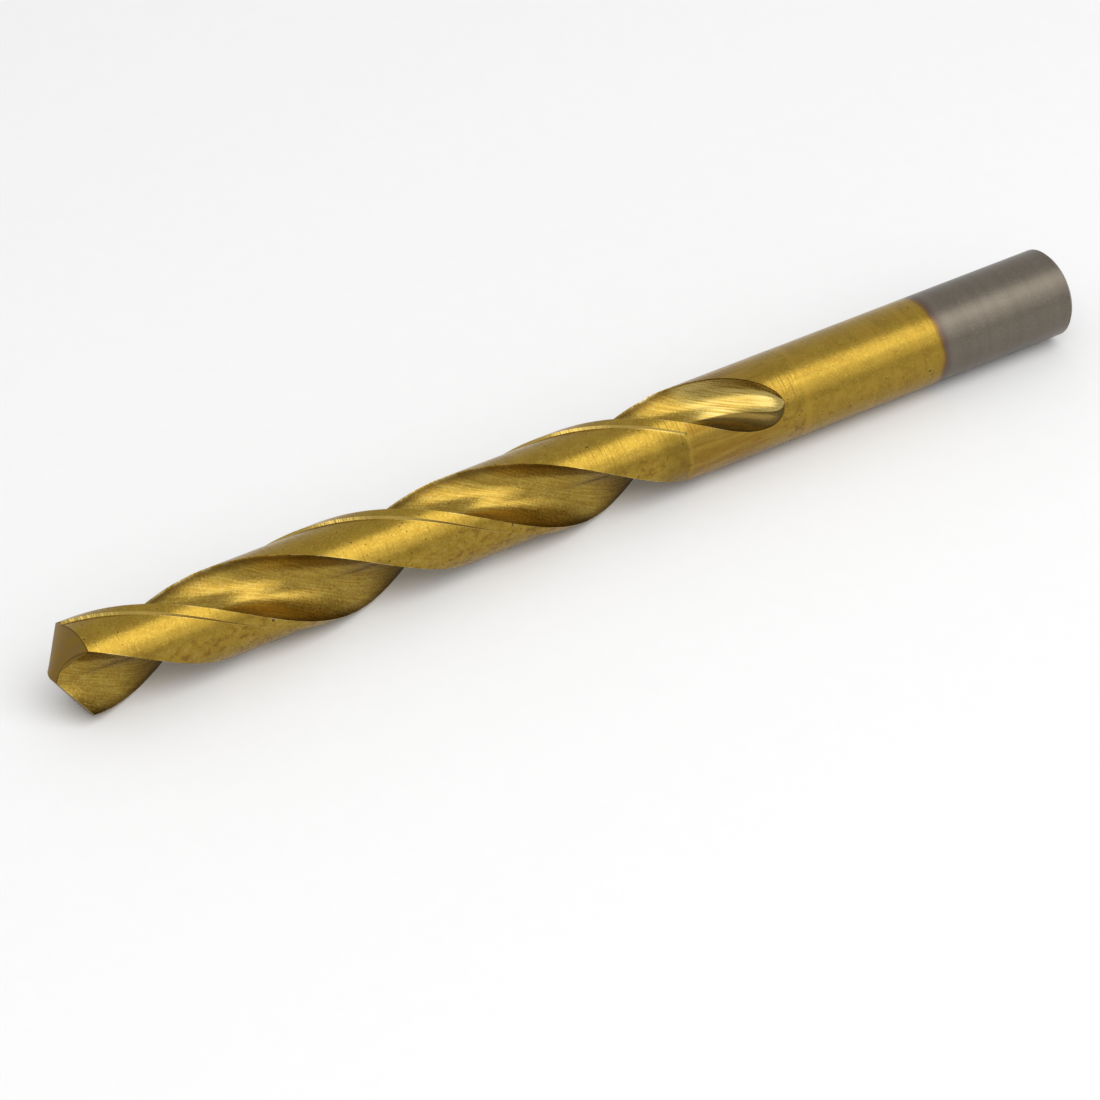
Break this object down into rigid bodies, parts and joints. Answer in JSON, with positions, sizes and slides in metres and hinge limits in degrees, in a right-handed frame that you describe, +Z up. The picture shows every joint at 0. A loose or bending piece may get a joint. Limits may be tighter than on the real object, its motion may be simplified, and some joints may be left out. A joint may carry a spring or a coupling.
{
  "type": "twist drill",
  "caption": "Gold-coated straight-shank twist drill with right-hand helical flutes, ground point and a bare steel shank end, for drilling metal in a drill chuck.",
  "frame": {"origin": "on the drill's axis, in the plane of the flat shank end face", "axes": "+X along the axis from the point to the shank end and out of the shank end face; +Z up as the drill lies on a bench"},
  "size_m": [0.1495, 0.012, 0.012],
  "materials": {
    "coated_hss": "titanium nitride gold over ground high-speed steel",
    "shank_steel": "fine cylindrical grinding, bare at the rear and coated gold in front"
  },
  "bodies": {
    "root": {"cutting_body": "coated_hss", "shank": "shank_steel"}
  },
  "joints": []
}
